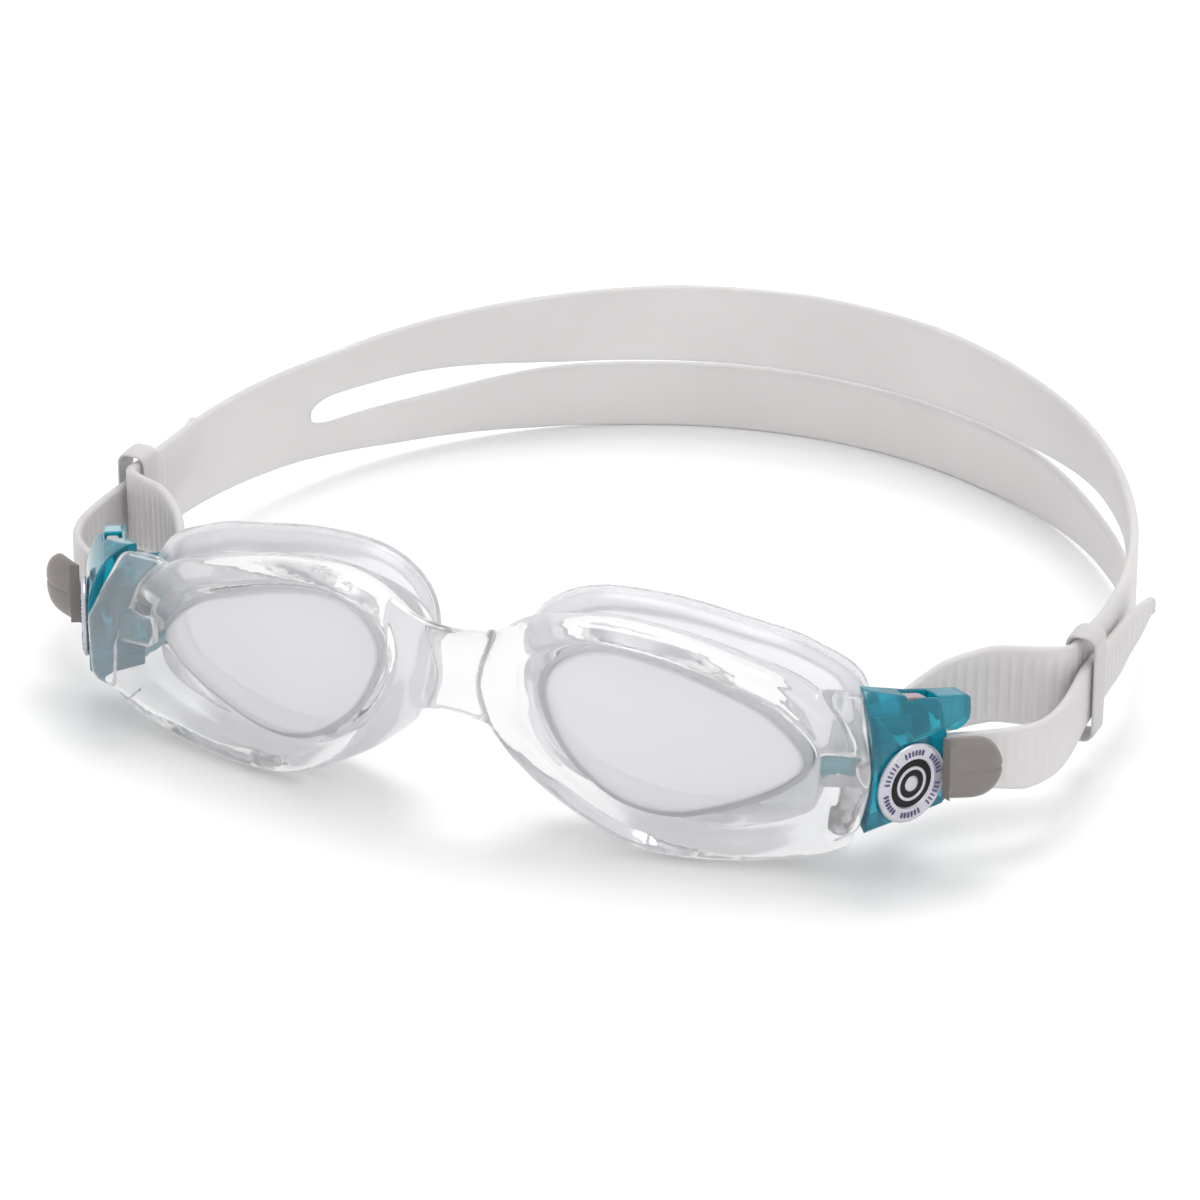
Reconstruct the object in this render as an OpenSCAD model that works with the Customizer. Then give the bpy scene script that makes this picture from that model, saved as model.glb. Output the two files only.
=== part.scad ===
// Swim goggles: clear one-piece frame, soft eye seals, push-button strap buckles
// and a split silicone head strap. Millimetres, +Z up, wearer looks along -Y.
// The goggles rest on the lower edges of both eye rings and of the strap's back.

/* [Lens] */
// Width of the clear window
window_w = 39.8; // [34:0.2:46]
// Height of the clear window
window_h = 24.6; // [20:0.2:30]
// Distance from the middle plane to the window's nose edge
window_nose_x = 13.9; // [12:0.1:18]
// Turn of each lens round the face
wrap = 9.7; // [4:0.1:16]
// Backward lean of each lens
lean = 5.5; // [1:0.1:10]
// Distance of the lens planes' meeting line in front of the buckle corner
lens_front = 11.8; // [9:0.1:14]
// Thickness of the lens
lens_t = 1.7; // [1.2:0.1:2.6]
// Width of the flange that holds the lens in its seat
lens_flange = 1.5; // [0.8:0.1:2.2]
// Thickness of that flange
lens_flange_t = 1.1; // [0.7:0.1:1.6]

/* [Eye ring and bridge] */
// Ring width at the nose
ring_nose = 10.2; // [8:0.1:11.5]
// Ring width at the temple
ring_temple = 7.6; // [6:0.1:10]
// Ring width above the window
ring_top = 4.6; // [3.6:0.1:6]
// Ring width below the window
ring_foot = 6.2; // [5:0.1:8]
// How far the ring's crest stands in front of the window
ring_crest = 2.9; // [1.8:0.1:4]
// Depth of the ring behind the window plane
ring_back = 4.4; // [3.9:0.1:6]
// Height of the nose bridge at its middle
bridge_h = 13.6; // [9:0.1:16]
// Rise of the bridge's middle above the middle of the lenses
bridge_rise = 7; // [3:0.1:8]
// Thickness of the nose bridge
bridge_t = 4.2; // [3:0.1:6]
// How far the bridge reaches into each ring
bridge_reach = 8.6; // [7:0.1:10]

/* [Eye seal] */
// Wall of the soft eye seal
seal_wall = 1.1; // [0.8:0.1:1.6]
// Depth of the seal at the nose
seal_nose_depth = 4.8; // [4:0.1:8]
// Depth of the seal at the temple
seal_temple_depth = 6.2; // [5:0.1:9]
// Reach of the seal beyond the window at the nose
seal_nose = 5.1; // [4.6:0.1:6]
// Reach of the seal beyond the window at the temple
seal_temple = 7.6; // [6.6:0.1:8.2]
// Reach of the seal above the window
seal_top = 7.1; // [5.8:0.1:7.6]
// Reach of the seal below the window
seal_foot = 4.6; // [4:0.1:5.2]
// How far the sealing lip curls inward
seal_lip = 3.2; // [2.4:0.1:3.8]

/* [Buckle housing] */
// Distance from the middle plane to the housing's lower front tip
buckle_x = 63.5; // [60:0.5:68]
// Direction of the housing along the temple, from +X
buckle_turn = 60.9; // [54:0.1:68]
// Length of the housing's outer wall
housing_len = 15.8; // [15:0.1:17]
// Height of the housing at the seam
housing_h = 20.3; // [19:0.1:24]
// Wall of the housing
housing_wall = 1.4; // [1:0.1:1.8]
// Drop of the roof from the seam to the end of the hook
roof_drop = 4.9; // [3.5:0.1:5.5]
// Length of the roof's hook behind the seam
hook_len = 22.8; // [21.5:0.1:24]
// Width of the hook
hook_w = 3.4; // [2.8:0.1:3.6]
// Length of the tongue inside the frame
tongue_len = 7; // [5:0.1:8]
// Height of the tongue
tongue_h = 5.4; // [3:0.1:6]

/* [Release lever] */
// Diameter of the lever's barrel
barrel_d = 2.4; // [2.2:0.1:2.5]
// Diameter of the pivot pin
pin_d = 1.2; // [0.9:0.05:1.4]
// Radial clearance between the lever and its pin
pin_fit = 0.05; // [0.03:0.01:0.1]
// Length of the button pad
pad_len = 7.6; // [6.6:0.1:8.4]
// Height of the button pad
pad_h = 10; // [9:0.1:10.6]
// Thickness of the button pad
pad_t = 3; // [2.2:0.1:3.4]

/* [Strap bar] */
// Diameter of the bar that the strap turns round
bar_d = 3.6; // [3:0.1:4]

/* [Badge] */
// Diameter of the round badge
badge_d = 12.4; // [9:0.1:13]
// Thickness of the badge
badge_t = 0.9; // [0.5:0.1:1.2]

/* [Head strap] */
// Half width of the strap loop
loop_x = 79.4; // [76:0.2:84]
// Depth of the loop behind its straight sides
loop_depth = 86; // [76:1:100]
// Start of the loop's rounded back, behind the buckle corner
loop_start = 51; // [49:0.5:56]
// Thickness of the strap
strap_t = 1.5; // [1.1:0.1:1.8]
// Gap between the strap and what it lies against
strap_gap = 0.3; // [0.2:0.05:0.5]
// Height of the strap at its doubled ends
strap_end_h = 10; // [8:0.1:10.4]
// Height of the strap on the sides
strap_side_h = 16; // [14:0.2:18]
// Height of both bands together at the back
strap_back_h = 27; // [22:0.2:30]
// Depth of the ribs on the strap's ends
rib_depth = 0.35; // [0.2:0.05:0.5]
// Greatest opening of the slot between the bands
slot_h = 4.8; // [3:0.1:6]

/* [Strap keeper] */
// Length of the keeper along the strap
keeper_len = 5; // [4:0.1:8]
// Wall of the keeper
keeper_wall = 1.1; // [0.9:0.1:1.8]
// Clearance between the keeper and the strap
keeper_gap = 0.35; // [0.25:0.05:0.5]

/* [Hidden] */
$fn = 32;
eps = 0.01;
touch = 0.02;

// --- Places of the main pieces ---
// The corner line of the buckles is at y = 0 before the whole is centred
buckle_y = -7.2;
bridge_front_y = -lens_front - 2.1;
strap_rear_y = loop_start + loop_depth + strap_t / 2;
mid_y = (strap_rear_y + bridge_front_y) / 2;
lens_z = (window_h / 2 + ring_foot) * cos(lean) + ring_back * 0.8 * sin(lean);
window_mid_u = window_nose_x + window_w / 2;

// --- Outlines round the lens, as shares of their width and height ---
// The lists start at the nose and run over the top to the temple and back below
window_shape = [[-0.5, 0.22], [-0.435, 0.4], [-0.285, 0.49], [-0.08, 0.445], [0.15, 0.325],
    [0.35, 0.18], [0.485, -0.05], [0.42, -0.215], [0.23, -0.38], [0, -0.49], [-0.2, -0.44],
    [-0.36, -0.25], [-0.455, -0.03]];
ring_shape = [[-0.5, 0.17], [-0.425, 0.415], [-0.23, 0.5], [-0.02, 0.475], [0.18, 0.4],
    [0.365, 0.29], [0.485, 0.05], [0.5, -0.335], [0.3, -0.465], [0.05, -0.5], [-0.12, -0.445],
    [-0.325, -0.25], [-0.455, -0.035]];
seal_shape = [[-0.5, 0.24], [-0.438, 0.408], [-0.295, 0.496], [-0.076, 0.485], [0.133, 0.422],
    [0.333, 0.345], [0.486, 0.183], [0.457, -0.254], [0.324, -0.408], [0.057, -0.49],
    [-0.171, -0.45], [-0.39, -0.296], [-0.49, -0.056]];
ring_w = ring_nose + window_w + ring_temple;
ring_h = ring_top + window_h + ring_foot;
ring_mid_u = window_nose_x - ring_nose + ring_w / 2;
ring_mid_v = (ring_top - ring_foot) / 2;
seal_w = seal_nose + window_w + seal_temple;
seal_h = seal_top + window_h + seal_foot;
seal_mid_u = window_nose_x - seal_nose + seal_w / 2;
seal_mid_v = (seal_top - seal_foot) / 2;
spline_steps = 4;

// Closed smooth curve through the points of a list
function closed_curve(p, k) = let (n = len(p)) [
    for (i = [0:n - 1]) for (j = [0:k - 1])
        let (t = j / k, a = p[(i + n - 1) % n], b = p[i], c = p[(i + 1) % n], d = p[(i + 2) % n])
            0.5 * (2 * b + (c - a) * t + (2 * a - 5 * b + 4 * c - d) * t * t
                + (3 * b - 3 * c + d - a) * t * t * t)];
window_curve = [for (p = closed_curve(window_shape, spline_steps))
    [window_mid_u + p[0] * window_w, p[1] * window_h]];
ring_curve = [for (p = closed_curve(ring_shape, spline_steps))
    [ring_mid_u + p[0] * ring_w, ring_mid_v + p[1] * ring_h]];
seal_curve = [for (p = closed_curve(seal_shape, spline_steps))
    [seal_mid_u + p[0] * seal_w, seal_mid_v + p[1] * seal_h]];
stations = len(ring_curve);

// Outward direction at each station, square to the window curve
function unit(v) = v / norm(v);
function outward(i) = let (d = unit(window_curve[(i + 1) % stations]
    - window_curve[(i + stations - 1) % stations])) [-d[1], d[0]];
function smooth(t) = let (c = max(0, min(1, t))) c * c * (3 - 2 * c);
function seal_depth(u) = seal_nose_depth
    + (seal_temple_depth - seal_nose_depth) * smooth((u - window_nose_x) / window_w);

// Places the lens plane: local x runs to the temple, y up and z forward
module at_lens() {
    translate([0, -lens_front - mid_y, lens_z]) rotate([90 - lean, 0, wrap]) children();
}

// Ring of sections [share from window to rim, millimetres past it, forward, depth share]
module ring_sweep(section, rim) {
    m = len(section);
    points = [for (i = [0:stations - 1]) for (s = section)
        let (w = window_curve[i], q = w + (rim[i] - w) * s[0] + outward(i) * s[1])
            [q[0], q[1], s[2] - s[3] * seal_depth(q[0])]];
    faces = [for (i = [0:stations - 1]) for (j = [0:m - 1]) for (h = [0, 1])
        let (a = i * m + j, b = i * m + (j + 1) % m,
            c = ((i + 1) % stations) * m + (j + 1) % m, d = ((i + 1) % stations) * m + j)
            h == 0 ? [a, c, b] : [a, d, c]];
    polyhedron(points = points, faces = faces, convexity = 6);
}

// --- Frame ---
lens_seat = 1.3;
ring_section = [[0, 0.05, 0.3, 0], [0, 0.05, -lens_seat, 0], [0, lens_flange + 0.1, -lens_seat, 0],
    [0, lens_flange + 0.1, -ring_back, 0], [0.88, 0, -ring_back, 0], [1, 0, -ring_back + 1, 0],
    [1, 0, 0.4, 0], [0.9, 0, ring_crest * 0.75, 0], [0.7, 0, ring_crest, 0],
    [0.52, 0, ring_crest * 0.9, 0], [0.4, 0, ring_crest * 0.62, 0], [0.25, 0, ring_crest * 0.6, 0]];

module bridge() {
    steps = 8;
    sides = 16;
    ring_z = lens_z + bridge_rise;
    points = [for (i = [-steps:steps]) let (x = bridge_reach * i / steps, f = pow(abs(i) / steps, 2))
        for (k = [0:sides - 1]) let (c = cos(360 * k / sides), s = sin(360 * k / sides),
            h = bridge_h / 2 + 2.4 * f, y0 = bridge_front_y + bridge_t / 2 + 0.8 * f)
            [x, y0 - mid_y - (bridge_t / 2) * sign(c) * pow(abs(c), 0.6),
                ring_z - 0.6 * f + h * sign(s) * pow(abs(s), 0.6)]];
    last = 2 * steps * sides;
    faces = concat([[for (k = [sides - 1:-1:0]) k]], [[for (k = [0:sides - 1]) last + k]],
        [for (i = [0:2 * steps - 1]) for (k = [0:sides - 1]) for (h = [0, 1])
            let (a = i * sides + k, b = i * sides + (k + 1) % sides, c = b + sides, d = a + sides)
                h == 0 ? [a, c, d] : [a, b, c]]);
    polyhedron(points = points, faces = faces, convexity = 4);
}

// Solid end of the frame between the ring and the buckle's seam
module temple_end() {
    r = 2;
    hull() {
        at_ring_end(-1.2, 7.6) sphere(r, $fn = 24);
        at_ring_end(-0.6, -13) sphere(r, $fn = 24);
        at_buckle() {
            translate([-1.2, 2.2, housing_z + r + 0.3]) sphere(r, $fn = 24);
            translate([1, 1.9, housing_z + housing_h * 0.48]) sphere(r, $fn = 24);
            translate([3, 6.6, housing_z + housing_h - r - 0.4]) sphere(r, $fn = 24);
            translate([3, 9.4, housing_z + housing_h - r - 1]) sphere(r, $fn = 24);
            translate([0, 8.6, housing_z + r + 0.5]) sphere(r, $fn = 24);
        }
    }
}

module at_ring_end(w, v) {
    at_lens() translate([ring_mid_u + ring_w / 2 - 5.6, v, w]) children();
}

module front_frame() {
    color([0.9, 0.93, 0.95, 0.5]) difference() {
        union() {
            for (side = [0, 1]) mirror([side, 0, 0]) difference() {
                union() {
                    at_lens() ring_sweep(ring_section, ring_curve);
                    difference() {
                        temple_end();
                        window_clear();
                    }
                }
                at_buckle() past_seam(0);
            }
            bridge();
        }
        for (side = [0, 1]) mirror([side, 0, 0]) at_buckle() tongue(0.15);
    }
}

// Room for the lens and the eye behind it
module window_clear() {
    at_lens() translate([0, 0, -20]) linear_extrude(40)
        polygon([for (i = [0:stations - 1]) window_curve[i] + outward(i) * (lens_flange + 0.1)]);
}

// --- Lenses ---
module lens() {
    at_lens() {
        translate([0, 0, -lens_t]) linear_extrude(lens_t) polygon(window_curve);
        translate([0, 0, -lens_seat - touch - lens_flange_t]) linear_extrude(lens_flange_t)
            polygon([for (i = [0:stations - 1]) window_curve[i] + outward(i) * lens_flange]);
    }
}
module lens_left() {
    color([0.86, 0.88, 0.9, 0.4]) lens();
}
module lens_right() {
    color([0.86, 0.88, 0.9, 0.4]) mirror([1, 0, 0]) lens();
}

// --- Soft eye seals ---
seal_base = -ring_back - touch;
seal_section = [[0.1, 1.3, seal_base, 0], [0.1, 1.3, seal_base - 0.8, 0],
    [0.5, 0, seal_base - 1, 0.06], [0.82, -seal_wall * 0.4, seal_base, 0.4],
    [0.92, -seal_wall * 0.6, seal_base, 0.8], [0.88, -seal_wall * 0.6, seal_base, 0.96],
    [0.88, -seal_lip * 0.5, seal_base, 1], [0.88, -seal_lip, seal_base, 0.94],
    [0.88, -seal_lip, seal_base - 0.6, 1], [0.9, -seal_lip * 0.45, seal_base - 0.8, 1.04],
    [0.94, 0, seal_base - 0.4, 1.02], [1, 0, seal_base, 0.8], [0.93, 0, seal_base, 0.4],
    [0.84, 0, seal_base, 0.12], [0.68, 0, seal_base, 0]];

module skirt() {
    at_lens() ring_sweep(seal_section, seal_curve);
}
module skirt_left() {
    color([0.88, 0.89, 0.92, 0.45]) skirt();
}
module skirt_right() {
    color([0.88, 0.89, 0.92, 0.45]) mirror([1, 0, 0]) skirt();
}

// --- Buckle: local x runs back along the housing, y inward from its outer face, z up ---
housing_z = 9;
bar_a = housing_len - 2.3;
bar_depth = 9.6;
pivot_a = housing_len - 1.9;
pivot_depth = 3.6;
strap_low = housing_z + housing_wall + 0.2;
strap_top_z = strap_low + strap_end_h;
deck_z = strap_low + 10.6;
seam_lean = 1;
seam_bow = 1.5;
seam_turn = 27;
housing_depth = 12.8;
cavity_a = housing_len - 8;
lever_low = strap_low + 0.3;
lever_h = 9.6;
hook_depth = 3;
tongue_root = 1.1;

module at_buckle() {
    translate([buckle_x, buckle_y - mid_y, 0]) rotate([0, 0, buckle_turn]) children();
}

// Everything behind the bowed seam, which runs rearward on its way in, moved back by gap
module past_seam(gap) {
    top_a = seam_lean * 1.2;
    top_z = housing_z + housing_h * 1.2;
    low_a = -seam_lean * 0.2;
    low_z = housing_z - housing_h * 0.2;
    bow = [for (t = [0:0.125:1]) [(low_a + (top_a - low_a) * t + seam_bow * 4 * t * (1 - t) - 0.6)
        * cos(seam_turn) + gap, low_z + (top_z - low_z) * t]];
    rotate([0, 0, -seam_turn]) translate([0, 60, 0]) rotate([90, 0, 0]) linear_extrude(80)
        polygon(concat(bow, [[60, top_z], [60, low_z]]));
}

function roof_z(a) = housing_z + housing_h - roof_drop * (a - 4.7) / (hook_len - 5.8);

// Outer face seen along the housing: upright below, rounded inward to the roof
module housing_end_shape() {
    shoulder_w = 7.4;
    shoulder_h = housing_h - 10;
    round_z = housing_z + 10;
    shoulder = [for (t = [0:7.5:90]) [shoulder_w * (1 - cos(t)), round_z + shoulder_h * sin(t)]];
    polygon(concat([[housing_depth, housing_z], [1, housing_z], [0, housing_z + 1]], shoulder,
        [[housing_depth, housing_z + housing_h]]));
}

// Side view of the housing with its sloping roof
module housing_side_shape() {
    polygon([[-4, housing_z], [housing_len - 1, housing_z + 0.6], [housing_len, housing_z + 1.6],
        [housing_len, deck_z], [hook_len, deck_z], [hook_len, roof_z(hook_len)],
        [-4, roof_z(-4)]]);
}

module tongue(gap) {
    rotate([0, 0, wrap - buckle_turn + 180])
        translate([-tongue_root - gap, -3.4 - gap, housing_z + 7.4 - gap])
            cube([tongue_len + tongue_root + 2 * gap, 2 + 2 * gap, tongue_h + 2 * gap]);
}

module hook() {
    tip_r = 2.4;
    top_r = 1.2;
    translate([0, hook_depth + hook_w, 0]) rotate([90, 0, 0]) linear_extrude(hook_w)
        difference() {
            union() {
                polygon([[bar_a - 2, deck_z], [hook_len - tip_r, deck_z],
                    [hook_len - top_r, roof_z(hook_len - top_r)], [bar_a - 2, roof_z(bar_a - 2)]]);
                translate([hook_len - top_r, roof_z(hook_len - top_r) - top_r]) circle(top_r);
                translate([hook_len - tip_r, deck_z - 0.2]) circle(tip_r);
                translate([hook_len - tip_r, deck_z - 0.2])
                    square([tip_r, roof_z(hook_len) - top_r - deck_z + 0.2]);
            }
            translate([hook_len - 4.6, deck_z - 1.6]) circle(1.2);
        }
}

module buckle_housing() {
    at_buckle() difference() {
        union() {
            intersection() {
                rotate([90, 0, 90]) translate([0, 0, -4]) linear_extrude(housing_len + 4) housing_end_shape();
                translate([0, 30, 0]) rotate([90, 0, 0]) linear_extrude(40) housing_side_shape();
                past_seam(0.1);
                translate([0, 0, housing_z]) linear_extrude(housing_h)
                    polygon([[-4, -1], [housing_len, -1], [housing_len + 1, housing_depth],
                        [bar_a - 0.7, housing_depth], [cavity_a - 1.4, 8.9], [-4, 8]]);
            }
            hook();
            tongue(0);
        }
        // Room for the strap, the bar and the lever
        translate([cavity_a, housing_wall, housing_z + housing_wall])
            cube([30, 30, deck_z - housing_z - housing_wall]);
        // The roof's inner edge
        translate([0, 0, deck_z + 1.2]) linear_extrude(30)
            polygon([[-5, 9.4], [4.7, 8.2], [12, hook_depth + hook_w], [30, hook_depth + hook_w],
                [30, 30], [-5, 30]]);
        // Slot of the lever's key and seats of the pin and the bar
        translate([key_a - key_w / 2 - 0.35, key_depth - key_t / 2 - 0.45, deck_z - eps])
            cube([key_w + 0.7, key_t + 0.9, 20]);
        translate([pivot_a, pivot_depth, housing_z - 1]) cylinder(h = 4, d = pin_d + 0.02);
        translate([bar_a, bar_depth, housing_z - 1]) cylinder(h = 30, d = bar_d + 0.04);
    }
}
module buckle_housing_left() {
    color([0.04, 0.6, 0.7, 0.8]) buckle_housing();
}
module buckle_housing_right() {
    color([0.04, 0.6, 0.7, 0.8]) mirror([1, 0, 0]) buckle_housing();
}

// --- Badge on the outer wall ---
badge_a = 8.4;
badge_z = housing_z + 6.6;
module badge() {
    at_buckle() translate([badge_a, -touch, badge_z]) rotate([90, 0, 0]) {
        cylinder(h = badge_t - 0.25, d = badge_d);
        difference() {
            cylinder(h = badge_t, d = badge_d - 0.4);
            translate([0, 0, badge_t - 0.2]) cylinder(h = 1, d = badge_d * 0.62);
        }
        cylinder(h = badge_t, d = badge_d * 0.24);
    }
}
module badge_left() {
    color([0.75, 0.77, 0.82]) badge();
}
module badge_right() {
    color([0.75, 0.77, 0.82]) mirror([1, 0, 0]) badge();
}

// --- Release lever: barrel, pawl inside the wall and pad behind it ---
key_w = 5;
key_t = 2;
key_a = pivot_a - 0.5;
key_depth = pivot_depth + 0.7;
lever_wall = 1.3;
pad_front = housing_len - 1.8;
pad_z = housing_z + 2.6;
pad_stand = 2.7;
pad_flare = 3.5;

module pad() {
    r_end = 3.6;
    intersection() {
        translate([0, 10, 0]) rotate([90, 0, 0]) linear_extrude(20) hull() {
            translate([pad_front, pad_z]) square([1, pad_h]);
            translate([pad_front + pad_len - r_end, pad_z + r_end]) circle(r_end);
            translate([pad_front + pad_len - r_end, pad_z + pad_h - r_end]) circle(r_end);
        }
        linear_extrude(40) pad_plan();
    }
}

// The pad's crescent, with its outer face flaring away from the housing
module pad_plan() {
    outer = [for (t = [0:0.125:1]) [pad_front + pad_len * t, -pad_stand - pad_flare * sin(118 * t)]];
    inner = [for (t = [1:-0.125:0]) [pad_front + pad_len * t, -pad_stand - pad_flare * sin(118 * t)
        + pad_t * (0.55 + 0.45 * sin(180 * t))]];
    polygon(concat(outer, inner));
}

module release_lever() {
    at_buckle() difference() {
        union() {
            translate([pivot_a, pivot_depth, lever_low]) cylinder(h = deck_z - lever_low - 0.2, d = barrel_d);
            translate([key_a - key_w / 2, key_depth - key_t / 2, deck_z - 1])
                cube([key_w, key_t, roof_z(key_a) - deck_z - 0.5]);
            translate([0, 0, lever_low]) linear_extrude(lever_h)
                polygon([[pivot_a, pivot_depth - barrel_d / 2], [pivot_a + 1.6, pivot_depth],
                    [housing_len + 2.4, 0.9], [pad_front + 5.6, -pad_stand - 1.4],
                    [pad_front + 3.4, -pad_stand - 1.8], [housing_len + 0.35, -0.5], [housing_len + 0.35, 1.75],
                    [housing_len - 1, 1.85],
                    [pivot_a - 3.4, pivot_depth - 0.9], [pivot_a - 4, pivot_depth + 0.6],
                    [pivot_a - 2.6, bar_depth - bar_d / 2 - strap_t - 0.55],
                    [pivot_a - 1.6, pivot_depth + 0.9], [pivot_a, pivot_depth + barrel_d / 2]]);
            pad();
        }
        translate([pivot_a, pivot_depth, 0]) cylinder(h = 60, d = pin_d + 2 * pin_fit);
    }
}
module release_lever_left() {
    color([0.5, 0.47, 0.46]) release_lever();
}
module release_lever_right() {
    color([0.5, 0.47, 0.46]) mirror([1, 0, 0]) release_lever();
}

module pivot_pin() {
    at_buckle() translate([pivot_a, pivot_depth, housing_z + 0.1])
        cylinder(h = roof_z(pivot_a) - housing_z - 1.7, d = pin_d);
}
module pivot_pin_left() {
    color([0.75, 0.75, 0.76]) pivot_pin();
}
module pivot_pin_right() {
    color([0.75, 0.75, 0.76]) mirror([1, 0, 0]) pivot_pin();
}

// --- Leaf spring between the outer wall and the lever's pawl arm ---
spring_t = 0.25;
module return_spring() {
    rise = 0.35;
    from_a = cavity_a + 0.3;
    leaf = [for (t = [0:0.1:1]) [from_a + 4.6 * t, housing_wall + touch + rise * sin(180 * t)]];
    back = [for (i = [len(leaf) - 1:-1:0]) leaf[i] + [0, spring_t]];
    at_buckle() translate([0, 0, lever_low + 2]) linear_extrude(lever_h - 4) polygon(concat(leaf, back));
}
module return_spring_left() {
    color([0.7, 0.7, 0.72]) return_spring();
}
module return_spring_right() {
    color([0.7, 0.7, 0.72]) mirror([1, 0, 0]) return_spring();
}

// --- Bar that the strap turns round ---
module strap_bar() {
    at_buckle() translate([bar_a, bar_depth, housing_z + 0.1])
        cylinder(h = deck_z - housing_z + 1, d = bar_d);
}
module strap_bar_left() {
    color([0.55, 0.53, 0.52]) strap_bar();
}
module strap_bar_right() {
    color([0.55, 0.53, 0.52]) mirror([1, 0, 0]) strap_bar();
}

// --- Head strap: one band from tail to tail, doubled through both buckles ---
wrap_r = bar_d / 2 + 0.15 + strap_t / 2;
outer_x = loop_x + strap_t + strap_gap;
straight_y = 38.5;
hold_y = 55;
leave_angle = 30;
turn_angle = 126;
function buckle_pt(a, d) = [buckle_x + a * cos(buckle_turn) - d * sin(buckle_turn),
    buckle_y + a * sin(buckle_turn) + d * cos(buckle_turn)];
function bezier(p, t) = pow(1 - t, 3) * p[0] + 3 * t * pow(1 - t, 2) * p[1]
    + 3 * t * t * (1 - t) * p[2] + t * t * t * p[3];
bar_pt = buckle_pt(bar_a, bar_depth);
function round_bar(angle) = bar_pt + wrap_r * [cos(angle), sin(angle)];
outer_angle = buckle_turn - 90 - leave_angle;
inner_angle = outer_angle - turn_angle;
leave_dir = [cos(outer_angle + 90), sin(outer_angle + 90)];
enter_dir = [cos(inner_angle - 90), sin(inner_angle - 90)];
tail = [[outer_x + 1.6, hold_y + 10], [outer_x + 0.8, hold_y + 6.5], [outer_x, hold_y + 3.5], [outer_x, hold_y]];
outer_ply = [[outer_x, straight_y], [outer_x + 1.6, 21], round_bar(outer_angle) + leave_dir * 24,
    round_bar(outer_angle)];
inner_ply = [round_bar(inner_angle), round_bar(inner_angle) + enter_dir * 23,
    [loop_x, straight_y - 9], [loop_x, straight_y]];

// Right half of the route from the tail to the back: [x, y, stage], a whole number a stretch
tail_n = 14;
hold_n = 8;
outer_n = 26;
turn_n = 9;
inner_n = 28;
side_n = 6;
back_n = 30;
half_route = concat(
    [for (i = [0:tail_n - 1]) let (t = i / tail_n, p = bezier(tail, t)) [p[0], p[1], t]],
    [for (i = [0:hold_n - 1]) let (t = i / hold_n) [outer_x, hold_y + (straight_y - hold_y) * t, 1 + t]],
    [for (i = [0:outer_n - 1]) let (t = i / outer_n, p = bezier(outer_ply, t)) [p[0], p[1], 2 + t]],
    [for (i = [0:turn_n - 1]) let (t = i / turn_n,
        p = round_bar(outer_angle + (inner_angle - outer_angle) * t)) [p[0], p[1], 3 + t]],
    [for (i = [0:inner_n - 1]) let (t = i / inner_n, p = bezier(inner_ply, t)) [p[0], p[1], 4 + t]],
    [for (i = [0:side_n - 1]) let (t = i / side_n)
        [loop_x, straight_y + (loop_start - straight_y) * t, 5 + t]],
    [for (i = [0:back_n]) let (t = i / back_n)
        [loop_x * cos(90 * t), loop_start + loop_depth * sin(90 * t), 6 + t]]);
half_n = len(half_route);
route = concat(half_route, [for (i = [half_n - 2:-1:0]) let (p = half_route[i]) [-p[0], p[1], p[2]]]);

// Heights of the strap's edges along the route, by stage
side_low = 6;
low_edge = [[0, strap_low + 3.4], [0.35, strap_low + 0.6], [1, strap_low - 1.4], [2, strap_low - 1.4],
    [2.4, strap_low - 2.4], [2.6, strap_low - 2.7], [2.9, strap_low - 0.3], [3, strap_low],
    [4, strap_low], [4.15, strap_low + 0.3], [4.5, strap_low + 1.6], [4.8, strap_low - 0.4],
    [5, side_low + 1.4], [6, side_low + 1.4], [6.25, side_low - 1.2], [6.4, 2.4], [6.6, 0.6],
    [6.75, 0], [7, 0]];
top_edge = [[0, strap_top_z - 1.4], [0.35, strap_top_z - 1.4], [1, strap_top_z - 2], [2, strap_top_z - 1.2],
    [2.5, strap_top_z - 2.2], [2.9, strap_top_z - 1.8], [3, strap_top_z],
    [4, strap_top_z], [4.15, strap_top_z + 0.8], [4.3, strap_top_z + 3], [4.5, strap_top_z + 4.2],
    [4.8, strap_top_z + 3.2],
    [5, side_low + strap_side_h + 0.8], [6, side_low + strap_side_h], [6.3, side_low + strap_side_h + 0.2],
    [6.5, strap_back_h - 2.8], [6.8, strap_back_h - 0.3], [7, strap_back_h]];
slot_start = 6.27;
slot_mid = 12.3;
function slot_open(k) = let (c = max(0, k - slot_start))
    k <= slot_start ? 0 : slot_h * min(1, sqrt(c / 0.035)) * (1 - 0.8 * smooth((k - 6.42) / 0.25));
function ribbed(k) = (k > 0.1 && k < 3) || (k > 4 && k < 4.9);

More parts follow.
